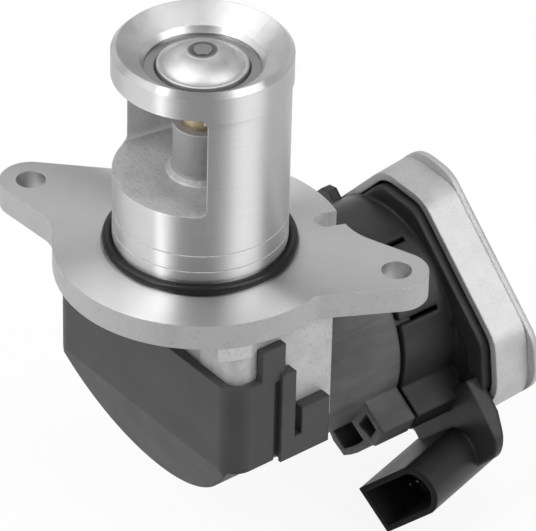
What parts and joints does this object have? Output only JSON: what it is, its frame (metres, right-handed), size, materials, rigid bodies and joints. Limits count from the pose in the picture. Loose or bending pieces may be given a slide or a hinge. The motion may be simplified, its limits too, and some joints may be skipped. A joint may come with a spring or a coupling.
{
  "type": "electric exhaust gas recirculation valve",
  "caption": "Flanged poppet valve with an open-sided cast barrel, driven through a crank and gears by an electric motor, with a wiring socket.",
  "frame": {"origin": "on the barrel's axis, in the plane of the flange's upper face that seats on the engine", "axes": "+Z along the barrel towards its mouth, +X from the barrel towards the gear cover, along the motor's axis"},
  "size_m": [0.0978, 0.0914, 0.1262],
  "materials": {
    "cast_aluminium": "turned barrel and faced flange on a fine-grained casting",
    "cover_aluminium": "light satin die casting",
    "cap_plastic": "fine matt moulding",
    "motor_housing_plastic": "fine matt moulding",
    "gear_case_plastic": "fine matt moulding",
    "gear_plastic": "moulded",
    "rubber_seal": "satin",
    "valve_steel": "turned",
    "seat_steel": "ground",
    "spring_steel": "drawn wire",
    "screw_steel": "zinc plated",
    "can_steel": "drawn sheet",
    "magnet": "pressed",
    "brush_carbon": "pressed",
    "contact_brass": "drawn",
    "bronze": "turned",
    "copper_winding": "enamelled wire",
    "board": "coated"
  },
  "bodies": {
    "housing": {"valve_body": "cast_aluminium", "flange_o_ring": "rubber_seal", "seat_ring": "seat_steel", "guide_bush": "bronze", "stem_seal": "rubber_seal", "closing_spring": "spring_steel", "crank_front_bearing": "bronze", "crank_rear_bearing": "bronze", "crank_shaft_seal": "rubber_seal", "mechanism_cap": "cap_plastic", "motor_housing": "motor_housing_plastic", "motor_housing_screws": "screw_steel", "motor_can": "can_steel", "motor_magnets": "magnet", "motor_end_cap": "gear_case_plastic", "motor_brushes": "brush_carbon", "layshaft_pin": "seat_steel", "gear_housing": "gear_case_plastic", "connector_pins": "contact_brass", "gear_cover": "cover_aluminium", "cover_seal": "rubber_seal", "cover_lid": "cover_aluminium", "sensor_board": "board"},
    "valve": {"valve_head": "valve_steel", "valve_stem": "seat_steel", "spring_retainer": "spring_steel", "stem_yoke": "seat_steel"},
    "crank": {"crankshaft": "seat_steel", "sector_gear": "gear_plastic", "sensor_magnet": "magnet"},
    "roller": {"crank_roller": "seat_steel"},
    "layshaft": {"layshaft_gear": "gear_plastic"},
    "rotor": {"motor_shaft": "seat_steel", "armature_core": "can_steel", "armature_windings": "copper_winding", "commutator": "contact_brass", "motor_pinion": "contact_brass"}
  },
  "joints": [
    {"name": "crank_turn", "type": "hinge", "parent": "housing", "child": "crank", "pos_m": [0.03, -0.0055, -0.026], "axis": [1, 0, 0], "range_deg": [0, 70], "stiffness_Nm_per_rad": 0.095, "springref_deg": -68.75},
    {"name": "valve_lift", "type": "slide", "parent": "housing", "child": "valve", "axis": [0, 0, 1], "range_m": [0, 0.0069], "deforming": ["closing_spring"]},
    {"name": "roller_spin", "type": "hinge", "parent": "crank", "child": "roller", "pos_m": [0, -0.00059, -0.02944], "axis": [1, 0, 0], "continuous": true},
    {"name": "layshaft_turn", "type": "hinge", "parent": "housing", "child": "layshaft", "pos_m": [0.057, -0.01425, -0.04034], "axis": [1, 0, 0], "range_deg": [-175.5, 0]},
    {"name": "rotor_turn", "type": "hinge", "parent": "housing", "child": "rotor", "pos_m": [0.03, 0.0032, -0.0426], "axis": [1, 0, 0], "range_deg": [0, 467.5]}
  ],
  "couplings": [
    {"joint": "valve_lift", "follows": "crank_turn", "m_per_rad": 0.0056337},
    {"joint": "layshaft_turn", "follows": "crank_turn", "ratio": -2.5},
    {"joint": "rotor_turn", "follows": "crank_turn", "ratio": 6.6667}
  ]
}
